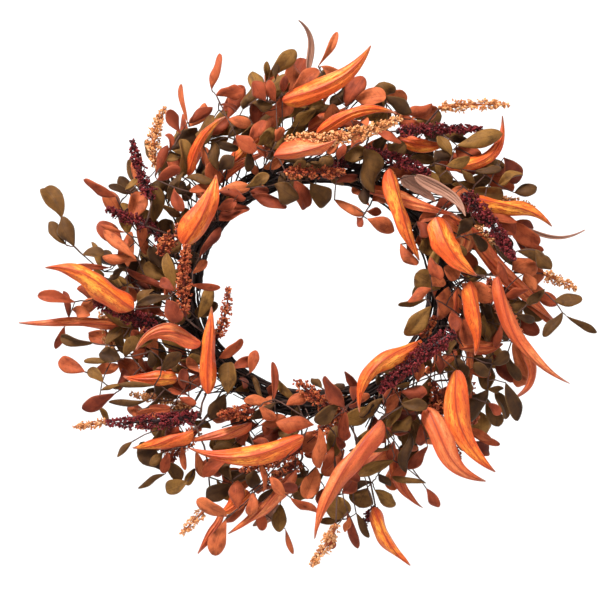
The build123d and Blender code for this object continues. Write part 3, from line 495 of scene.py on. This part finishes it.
def spike_chunks(rod, style, rng):
    """A seed spike: a core wire under hundreds of seeds in small clumps, which thin out towards the tip."""
    u = np.linspace(0, 1, SPIKE_POINTS)
    line = rod_line(rod, SPIKE_POINTS)
    tangent = unit(np.gradient(line, axis=0))
    side = unit(np.cross(tangent, SPIKE_OFF_AXIS))
    up = np.cross(tangent, side)
    length = np.linalg.norm(np.diff(line, axis=0), axis=1).sum()
    clumps = int(length / MM * style["per_mm"] * rod["radius"] / SPIKE_USUAL_RADIUS / style["clump"])
    at = np.sort(rng.uniform(0.0, 1.0, clumps) ** CLUMP_CROWDING)
    taper = spike_taper(at)
    turn = np.arange(clumps) * GOLDEN_TURN + rng.normal(0, CLUMP_SCATTER, clumps)
    depth = rng.choice(CLUMP_DEPTHS, clumps, p=CLUMP_SHARES)
    away = rod["radius"] * style["full"] * taper * depth
    spot, side, up, tangent = (np.stack([np.interp(at, u, rows[:, k]) for k in range(3)], axis=1)
                               for rows in (line, side, up, tangent))
    out = side * np.cos(turn)[:, None] + up * np.sin(turn)[:, None]
    clump_rows = (spot + out * away[:, None], out, tangent, at, taper, depth)
    spot, out, tangent, at, taper, depth = (np.repeat(rows, style["clump"], axis=0) for rows in clump_rows)
    count = len(at)
    spread = style["spread"] * np.clip(taper, 0.4, 1)[:, None]
    centre = spot + rng.normal(0, 1, (count, 3)) * spread
    size = style["seed"] * rng.uniform(*SEED_SIZES, count) * np.clip(taper + 0.35, 0.6, 1)
    lean = unit(out + tangent * style["lean"] + rng.normal(0, SEED_TILT, (count, 3)))
    across = unit(np.cross(lean, rng.normal(size=(count, 3))))
    third = np.cross(lean, across)
    body = (SEED_POINTS[None, :, 0:1] * across[:, None, :] + SEED_POINTS[None, :, 1:2] * third[:, None, :]
            + SEED_POINTS[None, :, 2:3] * lean[:, None, :] * style["long"])
    points = centre[:, None, :] + body * size[:, None, None]
    n = len(SEED_POINTS)
    faces = (SEED_FACES[None, :, :] + (np.arange(count) * n)[:, None, None]).reshape(-1, 3)
    clump_tone = np.repeat(rng.uniform(size=clumps), style["clump"])
    tone = np.clip(clump_tone * 0.5 + rng.uniform(0, 0.5, count), 0, 1)
    share = np.zeros((count, n, 3))
    share[:, :, 0] = tone[:, None]
    share[:, :, 1] = at[:, None]
    # painted shade: a seed darkens towards its inner side and with its depth in the spike, kept in share's
    # third value
    painted_shade_side = 0.6 + 0.4 * SEED_POINTS[None, :, 2]  # a seed is darker on its inner side
    share[:, :, 2] = np.clip((depth[:, None] - CLUMP_DEPTHS[0]) / SEED_SHADE_FADE * painted_shade_side, 0, 1)
    where = np.broadcast_to(tone[:, None, None] * SEED_PATTERN_SHIFT, (count, n, 3)) + points / MM
    chunks = [{"points": points.reshape(-1, 3), "faces": faces, "place": where.reshape(-1, 3),
               "share": share.reshape(-1, 3)}]
    core = tube_chunk(line, rod["radius"] * CORE_SHARE * np.clip(1.15 - u, 0.12, 1))
    return chunks + core


# ---- materials ---------------------------------------------------------------------------------


def colour(code):
    """Linear colour from a six-figure sRGB code."""
    parts = [int(code[k:k + 2], 16) / 255 for k in (0, 2, 4)]
    return tuple([c / 12.92 if c <= 0.04045 else ((c + 0.055) / 1.055) ** 2.4 for c in parts] + [1.0])


class Nodes:
    """Short ways to write a material's nodes."""

    def __init__(self, name, roughness, specular, sheen=0.0):
        self.material = bpy.data.materials.new(name)
        self.material.use_nodes = True
        self.tree = self.material.node_tree
        self.shader = self.tree.nodes["Principled BSDF"]
        self.shader.inputs["Roughness"].default_value = roughness
        self.shader.inputs["Specular IOR Level"].default_value = specular
        self.shader.inputs["Sheen Weight"].default_value = sheen
        self.shader.inputs["Sheen Roughness"].default_value = 0.5

    def add(self, kind, **settings):
        node = self.tree.nodes.new(kind)
        for key, value in settings.items():
            setattr(node, key, value)
        return node

    def link(self, source, target):
        self.tree.links.new(source, target)

    def attribute(self, title):
        return self.add("ShaderNodeAttribute", attribute_name=title).outputs["Vector"]

    def split(self, vector):
        node = self.add("ShaderNodeSeparateXYZ")
        self.link(vector, node.inputs[0])
        return node.outputs

    def put(self, value, socket):
        """Set an input to a value, or link an output to it."""
        if isinstance(value, (int, float, tuple)):
            socket.default_value = value
        else:
            self.link(value, socket)

    def math(self, operation, a, b=0.0):
        node = self.add("ShaderNodeMath", operation=operation)
        self.put(a, node.inputs[0])
        self.put(b, node.inputs[1])
        return node.outputs[0]

    def noise(self, vector, scale, stretch=(1, 1, 1), detail=3.0, rough=0.55):
        mapping = self.add("ShaderNodeMapping")
        self.link(vector, mapping.inputs["Vector"])
        mapping.inputs["Scale"].default_value = stretch
        node = self.add("ShaderNodeTexNoise")
        self.link(mapping.outputs[0], node.inputs["Vector"])
        node.inputs["Scale"].default_value = scale
        node.inputs["Detail"].default_value = detail
        node.inputs["Roughness"].default_value = rough
        return node.outputs["Fac"]

    def ramp(self, factor, stops):
        node = self.add("ShaderNodeValToRGB")
        self.link(factor, node.inputs[0])
        band = node.color_ramp
        while len(band.elements) < len(stops):
            band.elements.new(0.5)
        for element, (place, code) in zip(band.elements, stops):
            element.position = place
            element.color = code if isinstance(code, tuple) else colour(code)
        return node.outputs["Color"]

    def mix(self, factor, a, b):
        node = self.add("ShaderNodeMix", data_type="RGBA")
        self.put(factor, node.inputs["Factor"])
        self.put(a, node.inputs["A"])
        self.put(b, node.inputs["B"])
        return node.outputs["Result"]

    def finish(self, base, height=None, strength=None, distance=None):
        """The material, with its colour and, where a height is given, its bump."""
        self.put(base, self.shader.inputs["Base Color"])
        if height is not None:
            bump = self.add("ShaderNodeBump")
            bump.inputs["Strength"].default_value = strength
            bump.inputs["Distance"].default_value = distance
            self.link(height, bump.inputs["Height"])
            self.link(bump.outputs[0], self.shader.inputs["Normal"])
        return self.material


def grey(level):
    """A grey of this linear level."""
    return (level, level, level, 1.0)


def long_leaf_material(name, stops, streak, midrib, back, flecks, patch=None):
    """Printed cloth: short streaks along the leaf, a dark midrib, tinted edges and an unprinted back."""
    n = Nodes(name, roughness=0.5, specular=0.35, sheen=0.04)
    place, share = n.attribute("place"), n.attribute("share")
    v, u, under = n.split(share)[0:3]
    broad = n.noise(place, 0.07, (1.0, 0.4, 1.0), 2.0)
    streaks = n.noise(place, 0.7, (1.0, 0.18, 1.0), 4.0, 0.65)
    fine = n.noise(place, 1.7, (1.0, 0.16, 1.0), 3.0, 0.6)
    base = n.ramp(n.math("ADD", n.math("MULTIPLY", broad, 0.6), n.math("MULTIPLY", streaks, 0.4)), stops)
    if patch:
        base = n.mix(n.ramp(broad, [(0.5, grey(0.0)), (0.66, grey(0.75))]), base, colour(patch))
    base = n.mix(n.ramp(streaks, [(0.49, grey(0.0)), (0.58, grey(flecks))]), base, colour(streak))
    base = n.mix(n.ramp(fine, [(0.53, grey(0.0)), (0.66, grey(0.7 * flecks))]), base, colour(midrib))
    edge = n.math("ABSOLUTE", v)
    base = n.mix(n.ramp(edge, [(0.6, grey(0.0)), (1.0, grey(0.65))]), base, colour(streak))
    base = n.mix(n.ramp(edge, [(0.05, grey(0.5)), (0.3, grey(0.0))]), base, colour(streak))
    rib = n.ramp(edge, [(0.0, grey(0.85)), (0.05, grey(0.55)), (0.09, grey(0.0))])
    base = n.mix(rib, base, colour(midrib))
    ends = n.ramp(u, [(0.0, grey(0.55)), (0.12, grey(0.0)), (0.9, grey(0.0)), (1.0, grey(0.5))])
    base = n.mix(ends, base, colour(midrib))
    dull = n.mix(n.math("MULTIPLY", streaks, 0.6), colour(back), colour(midrib))
    base = n.mix(under, base, dull)
    height = n.math("ADD", n.math("MULTIPLY", streaks, 0.7), n.math("MULTIPLY", fine, 0.5))
    return n.finish(base, height, 0.55, 0.0006)


def small_leaf_material(name, dark, middle, light, back):
    """Dyed matt cloth: uneven tone from leaf to leaf and over each leaf, faint veins and a fine weave."""
    n = Nodes(name, roughness=0.7, specular=0.22, sheen=0.04)
    place, share = n.attribute("place"), n.attribute("share")
    seed = n.math("FRACT", n.math("MULTIPLY", n.split(place)[2], SEED_DECODE))
    v, u, under = n.split(share)[0:3]
    cloudy = n.noise(place, 0.11, (1, 1, 1), 3.0)
    base = n.ramp(n.math("ADD", n.math("MULTIPLY", seed, 0.6), n.math("MULTIPLY", cloudy, 0.4)),
                  [(0.15, dark), (0.5, middle), (0.85, light)])
    blotches = n.noise(place, 0.16, (1.0, 0.6, 1.0), 4.0, 0.6)
    base = n.mix(n.ramp(blotches, [(0.5, grey(0.0)), (0.68, grey(0.6))]), base, colour(dark))
    vein = n.math("ADD", n.math("MULTIPLY", n.math("ABSOLUTE", v), 1.4), n.math("MULTIPLY", u, 7.0))
    ribs = n.math("PINGPONG", vein, 0.5)
    base = n.mix(n.ramp(ribs, [(0.0, grey(0.22)), (0.1, grey(0.0))]), base, colour(dark))
    base = n.mix(n.ramp(n.math("ABSOLUTE", v), [(0.0, grey(0.35)), (0.06, grey(0.0))]), base, colour(dark))
    base = n.mix(n.ramp(n.math("ABSOLUTE", v), [(0.75, grey(0.0)), (1.0, grey(0.3))]), base, colour(light))
    base = n.mix(n.math("MULTIPLY", under, 0.8), base, colour(back))
    weave = n.noise(place, 2.2, (1, 1, 1), 2.0)
    height = n.math("ADD", n.math("MULTIPLY", weave, 0.35), n.math("MULTIPLY", ribs, 0.5))
    return n.finish(base, height, 0.35, 0.0005)


def seed_material(name, dark, middle, light):
    """Seeds: each with its own tone, with painted shade in the gaps between them: seeds deep in the spike
    and the inner sides of seeds are darker.
    """
    n = Nodes(name, roughness=0.5, specular=0.3)
    share = n.split(n.attribute("share"))
    speckle = n.noise(n.attribute("place"), 1.5, (1, 1, 1), 2.0)
    tone = n.math("ADD", n.math("MULTIPLY", share[0], 0.65), n.math("MULTIPLY", speckle, 0.35))
    base = n.ramp(tone, [(0.2, dark), (0.5, middle), (0.82, light)])
    # painted shade: seeds deep in the spike, and the inner sides of seeds, are mixed towards the dark tone
    base = n.mix(n.ramp(share[2], [(0.0, grey(0.75)), (0.55, grey(0.0))]), base, colour(dark))
    return n.finish(base, speckle, 0.4, 0.0003)


def bark_material(name, dark, light, roughness=0.8):
    """Bark or wrapped wire: fibres along the length, patches of lighter and darker tone."""
    n = Nodes(name, roughness, specular=0.3)
    place = n.attribute("place")
    fibres = n.noise(place, 1.1, (1.0, 0.12, 1.0), 4.0, 0.7)
    patches = n.noise(place, 0.04, (1, 1, 1), 2.0)
    tone = n.math("ADD", n.math("MULTIPLY", fibres, 0.6), n.math("MULTIPLY", patches, 0.4))
    base = n.ramp(tone, [(0.35, dark), (0.68, light)])
    return n.finish(base, fibres, 0.6, 0.0004)


def metal_material(name, dark, light, metallic, roughness):
    """Wire and plate: lacquer or plating that is rubbed through in small spots."""
    n = Nodes(name, roughness, specular=0.5)
    n.shader.inputs["Metallic"].default_value = metallic
    coordinates = n.add("ShaderNodeTexCoord").outputs["Object"]
    wear = n.noise(coordinates, 400.0, (1, 1, 1), 4.0)
    base = n.ramp(wear, [(0.4, dark), (0.72, light)])
    return n.finish(base, wear, 0.2, 0.0002)


# ---- styles of leaf and spike ------------------------------------------------------------------


def outline(u, fullest, root, tip):
    """A leaf's half width, 1 at its fullest; root and tip hold a fullness and a sharpness (1 is a point)."""
    w = np.where(u < fullest, u / fullest, (1 - u) / (1 - fullest))
    fullness, sharpness = (np.where(u < fullest, root[k], tip[k]) for k in (0, 1))
    return np.maximum(1 - (1 - w) ** fullness, 0) ** sharpness


def strap(u):
    """The outline of a long leaf: a blunt root, broad over half its length, and a drawn-out tip."""
    return outline(u, 0.32, (4.2, 0.5), (1.85, 1.0))


def oval(u):
    """The outline of a small leaf: an oval that narrows to its stalk."""
    return outline(u, 0.6, (1.6, 0.9), (2.0, 0.52))


LONG = {"rows": 40, "lanes": 14, "outline": strap, "cup": (0.4, 1.0), "fold": (-0.5, 0.15), "ruffle": 0.16,
        "waves": (1.0, 2.4), "twist": 0.8, "wander": 0.03, "droop": 0.06, "pleat": 0.0011, "pleats": 4,
        "thickness": 0.00055, "broad": 1.03, "hook": 1.3, "margin": 0.07}
SMALL = {"rows": 14, "lanes": 8, "outline": oval, "cup": (0.0, 0.9), "fold": (-0.1, 0.7), "ruffle": 0.2,
         "waves": (0.5, 1.3), "twist": 1.0, "wander": 0.05, "droop": 0.2, "pleat": 0.0, "pleats": 1,
         "thickness": 0.0005, "broad": 1.08, "hook": 1.0, "margin": 0.05}
DENSE = {"per_mm": 14.5, "clump": 6, "spread": 0.0011, "seed": 0.00085, "lean": 0.5, "long": 1.3,
         "full": 1.05}
LOOSE = {"per_mm": 13.0, "clump": 6, "spread": 0.001, "seed": 0.0008, "lean": 0.8, "long": 1.4,
         "full": 1.12}

# ---- the pieces --------------------------------------------------------------------------------

stalk = bark_material("stalk", "34201A", "6E4E42")
bark = bark_material("bark", "0E0908", "3A2620", 0.85)
variegated = long_leaf_material("variegated_leaf", [(0.36, "D24E16"), (0.5, "EA7224"), (0.64, "F69638")],
                                "C0390E", "92280A", "C89478", 0.8, patch="FAA83C")
plain = long_leaf_material("plain_leaf", [(0.36, "C04E20"), (0.5, "DA6C36"), (0.66, "EE9C60")],
                           "B43A1A", "8E2A14", "C89880", 0.65)
turned = long_leaf_material("turned_leaf", [(0.36, "844A38"), (0.5, "AE7258"), (0.66, "D4A082")],
                            "84463A", "6A342A", "B08068", 0.8)
olive = small_leaf_material("olive_leaf", "301A0A", "623E16", "90642C", "684022")
rust = small_leaf_material("rust_leaf", "541A0A", "9C4222", "C6683A", "904026")
burgundy = seed_material("burgundy_seed", "240406", "680E14", "A03638")
copper = seed_material("copper_seed", "5A180A", "B04A26", "E08850")
peach = seed_material("peach_seed", "9C5026", "E69A5A", "FBD0A0")

# node family: material slot, material and style
SPRAYS = {
    "olive_spray": ("olive_leaf", olive, SMALL),
    "rust_spray": ("rust_leaf", rust, SMALL),
    "variegated_leaves": ("variegated_leaf", variegated, LONG),
    "plain_leaves": ("plain_leaf", plain, LONG),
    "turned_leaves": ("leaf_back", turned, LONG),
}
SPIKES = {
    "burgundy_spikes": ("burgundy_seed", burgundy, DENSE),
    "copper_spikes": ("copper_seed", copper, LOOSE),
    "peach_spikes": ("peach_seed", peach, LOOSE),
}


def family(node, table):
    """The table's key that a node's name starts with, or None."""
    return next((key for key in table if node.startswith(key)), None)


def cells(points):
    """The small cubes of space that points lie in."""
    return set(map(tuple, np.floor(np.asarray(points) / CELL).astype(int)))


def stem_leaves(rods, style, taken, rng):
    """Smaller leaves along the stalks of a spray, to both sides in turn, where there is still room."""
    found = []
    forward = np.array([0, -1.0, 0])
    for rod in rods:
        line = rod_line(rod, STEM_POINTS)
        reach = np.concatenate([[0], np.cumsum(np.linalg.norm(np.diff(line, axis=0), axis=1))])
        hand = rng.choice([-1, 1])
        at = rng.uniform(*STEM_LEAF_START)
        while at < reach[-1] - STEM_LEAF_END:
            hand = -hand
            for _ in range(STEM_LEAF_TRIES):
                root = np.array([np.interp(at, reach, line[:, k]) for k in range(3)])
                onward = unit(line[-1] - line[0])
                sideways = unit(np.cross(forward, onward)) * hand
                splayed = onward + sideways * rng.uniform(*STEM_LEAF_SPLAY)
                along = unit(splayed + rng.normal(0, STEM_LEAF_SCATTER, 3))
                length = rng.uniform(*STEM_LEAF_LENGTH)
                up = unit(forward + rng.normal(0, STEM_LEAF_TILT, 3))
                up = unit(up - along * (up @ along))
                blade = {"root": root, "tip": root + along * length, "length": length, "up": up,
                         "side": np.cross(up, along), "width": length * rng.uniform(*STEM_LEAF_BREADTH),
                         "bow": 0.0, "curl": length * rng.uniform(*STEM_LEAF_CURL)}
                chunk = leaf_chunk(blade, style, rng)
                own = chunk["points"]
                inside = (own > np.array(cad_low)).all() and (own < np.array(cad_high)).all()
                past_root = own[len(own) // ROOT_PART:]
                if inside and own[:, 1].max() < STEM_LEAF_BACK and not (cells(past_root) & taken):
                    found.append(chunk)
                    taken |= cells(own)
                    break
            at += rng.uniform(*STEM_LEAF_STEP)
    return found


def build_foliage():
    """Every leaf and spike node, each with its own seeded draws; then smaller leaves along the stalks."""
    sprays, taken = [], set()
    for number, node in enumerate(sorted(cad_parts)):
        rng = np.random.default_rng(FOLIAGE_RANDOM + number)
        kind = family(node, SPRAYS)
        if kind:
            slot, material, style = SPRAYS[kind]
            blades, rods = read_node(node)
            chunks = [leaf_chunk(blade, style, rng) for blade in blades]
            for chunk in chunks:
                taken |= cells(chunk["points"])
            sprays.append((node, chunks, rods, material, slot, style, rng))
        kind = family(node, SPIKES)
        if kind:
            slot, material, style = SPIKES[kind]
            _, rods = read_node(node)
            stalks = [rod for rod in rods if rod["radius"] < SPIKE_LEAST]
            chunks = []
            for rod in rods:
                if rod["radius"] < SPIKE_LEAST:
                    continue
                if is_reversed(rod["start"], rod["end"], stalks):
                    rod["start"], rod["end"] = rod["end"], rod["start"]
                seeds, *core = spike_chunks(rod, style, rng)
                chunks += [seeds, *core]
                taken |= cells(seeds["points"])
            chunks += stalk_chunks(stalks, rng, SPIKE_STALK_RADIUS)
            make_piece(f"{node}_seeds", chunks, [material, stalk], slot, node)
    for node, chunks, rods, material, slot, style, rng in sprays:
        if style is SMALL:
            chunks += stem_leaves(rods, style, taken, rng)
        chunks += stalk_chunks(rods, rng)
        make_piece(f"{node}_foliage", chunks, [material, stalk], slot, node)


def outward(angle):
    """The direction that the ring's outside faces at each clock angle, in radians clockwise from the top."""
    return np.stack([np.sin(angle), 0 * angle, np.cos(angle)], axis=-1)


def ring_place(angle, out, deep):
    """Points beside the ring's middle line, by clock angle, distance outwards and towards the door."""
    from_top = np.abs((angle + np.pi) % (2 * np.pi) - np.pi)
    top, bottom = from_top < SIDE_ANGLE, from_top > np.pi - SIDE_ANGLE
    radius = np.where(top | bottom, HALF_HEIGHT + ARC_SHIFT, HALF_WIDTH - SIDE_SHIFT) + out
    middle = np.stack([np.where(top | bottom, 0, np.sign(np.sin(angle)) * SIDE_SHIFT),
                       RING_DEPTH + deep + 0 * angle,
                       ARC_SHIFT * (bottom * 1.0 - top)], axis=-1)
    return middle + outward(angle) * radius[..., None]


def build_twigs():
    """The twig bundles: long thin twigs that wind slowly round the ring, and short ends that stand out."""
    rng = np.random.default_rng(TWIG_RANDOM)
    for number in range(1, BUNDLES + 1):
        chunks = []
        start_angle = (number - 1) * 2 * math.pi / BUNDLES
        for _ in range(TWIGS):
            begin = start_angle + rng.uniform(0, 2 * math.pi / BUNDLES)
            span = rng.uniform(*TWIG_SPAN)
            count = int(span * POINTS_PER_RADIAN)
            angle = begin + np.linspace(0, span, count)
            offset = BUNDLE_RADIUS * math.sqrt(rng.uniform(*TWIG_PLACES))
            turn = rng.uniform(0, 2 * math.pi) + rng.uniform(*TWIG_WINDING) * np.linspace(0, span, count)
            leaving = np.clip(np.linspace(-TWIG_HOLD, 1, count), 0, 1)
            stray = TWIG_STRAY * leaving ** 2 * rng.uniform(*TWIG_STRAY_SHARE)
            out = offset * np.cos(turn) + stray + rng.normal(0, TWIG_ROUGH, count)
            deep = offset * np.sin(turn) + rng.normal(0, TWIG_ROUGH, count)
            radius = rng.uniform(*TWIG_RADIUS)
            line = ring_place(angle, out, deep)
            knots = 1 + KNOT_SWELL * (rng.uniform(size=count) > KNOT_SHARE)
            radii = radius * np.linspace(*TWIG_TAPER, count) * knots
            chunks += tube_chunk(line, radii, rng.uniform())
        for _ in range(STRAYS):
            begin = start_angle + rng.uniform(0, 2 * math.pi / BUNDLES)
            lean = rng.uniform(*STRAY_LEAN)
            base = ring_place(np.array([begin]), 0.0, 0.0)[0]
            ahead, out = outward(np.array([begin + math.pi / 2, begin]))
            forward = np.array([0, -1.0, 0])
            heading = unit(ahead * rng.uniform(*STRAY_AHEAD) + out * lean * STRAY_OUT
                           + forward * rng.uniform(*STRAY_FORWARD))
            length = rng.uniform(*STRAY_LENGTH)
            u = np.linspace(0, 1, STRAY_POINTS)
            bend = unit(rng.normal(size=3)) * rng.uniform(*STRAY_BEND)
            line = base + heading * (STRAY_START + u * length)[:, None] + bend * (u ** 2)[:, None]
            line[:, 1] = np.minimum(line[:, 1], STRAY_BACK)
            radii = rng.uniform(*STRAY_RADIUS) * np.linspace(*STRAY_TAPER, len(u))
            chunks += tube_chunk(line, radii, rng.uniform(), sides=STRAY_SIDES)
        make_piece(f"twigs_{number}", chunks, [bark], "twig", f"twig_bundle_{number}")


build_foliage()
build_twigs()

# the carried-over CAD nodes get their finish
cane = metal_material("cane", "1A100C", "3E2A20", 0.0, 0.85)
lacquer = metal_material("dark_wire", "1C1612", "4A3C30", 0.6, 0.45)
plated = metal_material("screw_steel", "6E6860", "A8A298", 0.9, 0.35)
FINISHES = {"core_hoop": cane, "binding_wires": lacquer, "hanger_plate": lacquer, "hanger_loop": lacquer,
            "hanger_screws": plated}
for node, finish in FINISHES.items():
    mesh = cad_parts[node].data
    mesh.materials.clear()
    mesh.materials.append(finish)

# ---- stage, light and camera -------------------------------------------------------------------


def room(name, material):
    """A round room with a floor, wide enough to hold the camera wherever it looks from."""
    turn = np.linspace(0, 2 * math.pi, ROOM_SIDES, endpoint=False)
    rim = np.stack([np.sin(turn), np.cos(turn)], axis=-1) * ROOM_RADIUS
    corners = [(x, y, z) for z in (ROOM_FLOOR, ROOM_TOP) for x, y in rim]
    ahead = np.roll(np.arange(ROOM_SIDES), -1)
    walls = [(k, ahead[k], ROOM_SIDES + ahead[k], ROOM_SIDES + k) for k in range(ROOM_SIDES)]
    mesh = bpy.data.meshes.new(name)
    faces = walls + [tuple(range(ROOM_SIDES))]
    mesh.from_pydata(corners, [], [tuple(int(k) for k in face) for face in faces])
    mesh.materials.append(material)
    piece = bpy.data.objects.new(name, mesh)
    bpy.context.scene.collection.objects.link(piece)


def pale(name):
    """Plain pale paint, very slightly uneven."""
    n = Nodes(name, roughness=0.9, specular=0.1)
    coordinates = n.add("ShaderNodeTexCoord").outputs["Object"]
    base = n.ramp(n.noise(coordinates, 3.0), [(0.3, grey(0.86)), (0.7, grey(0.9))])
    return n.finish(base)


room("backdrop", pale("backdrop"))


def light(name, place, aim, size, power):
    """A round soft light that the camera doesn't see."""
    lamp = bpy.data.lights.new(name, "AREA")
    lamp.shape, lamp.size, lamp.energy = "DISK", size, power
    piece = bpy.data.objects.new(name, lamp)
    piece.location = place
    piece.rotation_euler = (Vector(aim) - Vector(place)).to_track_quat("-Z", "Y").to_euler()
    piece.visible_camera = False
    bpy.context.scene.collection.objects.link(piece)


for name, (place, aim, size, power) in LIGHTS.items():
    light(name, place, aim or (cad_low + cad_high) / 2, size, power)

world = bpy.data.worlds.new("studio")
world.use_nodes = True
world.node_tree.nodes["Background"].inputs["Color"].default_value = (1.0, 1.0, 1.0, 1.0)
world.node_tree.nodes["Background"].inputs["Strength"].default_value = WORLD_LIGHT
bpy.context.scene.world = world
bpy.context.scene.view_settings.view_transform = "Standard"
bpy.context.scene.view_settings.look = "None"

camera_data = bpy.data.cameras.new("camera")
camera_data.sensor_width = SENSOR_WIDTH
camera_data.lens = SENSOR_WIDTH * CAMERA_DISTANCE / PICTURE_WIDTH
camera = bpy.data.objects.new("camera", camera_data)
camera.location = (PICTURE_MIDDLE[0], PICTURE_PLANE - CAMERA_DISTANCE, PICTURE_MIDDLE[1])
camera.rotation_euler = (math.radians(90), 0, 0)
bpy.context.scene.collection.objects.link(camera)
bpy.context.scene.camera = camera
